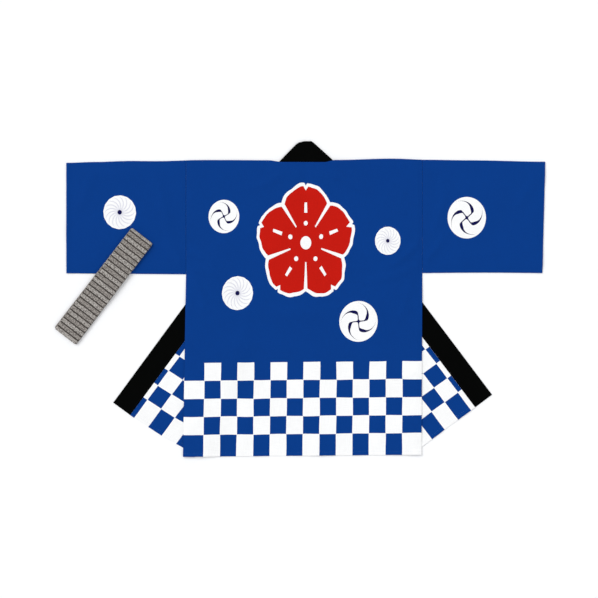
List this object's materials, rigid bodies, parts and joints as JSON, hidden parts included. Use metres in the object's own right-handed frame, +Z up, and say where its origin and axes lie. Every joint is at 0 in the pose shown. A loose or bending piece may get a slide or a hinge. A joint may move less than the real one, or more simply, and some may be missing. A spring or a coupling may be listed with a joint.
{
  "type": "happi coat with folded belt, laid flat",
  "caption": "Festival happi coat laid flat on its front, both fronts turned out under it, with its ribbed belt folded on one sleeve.",
  "frame": {"origin": "middle of the footprint, on the surface the coat lies on", "axes": "+X along the sleeves, to the right as seen from above with the neck away; +Y from hem to neck; +Z up, out of the coat's back"},
  "size_m": [1.309, 0.8442, 0.0101],
  "materials": {
    "printed_cotton": "matt blue plain-weave cotton, printed with a white check hem and white and red motifs",
    "collar_cotton": "matt black cotton, folded double",
    "belt_webbing": "grey ribbed woven ribbon with dark cross lines"
  },
  "bodies": {
    "root": {"back": "printed_cotton", "front_left": "printed_cotton", "front_right": "printed_cotton", "sleeve_left": "printed_cotton", "sleeve_right": "printed_cotton", "collar_left": "collar_cotton", "collar_right": "collar_cotton", "collar_neck": "collar_cotton", "belt": "belt_webbing"}
  },
  "joints": []
}
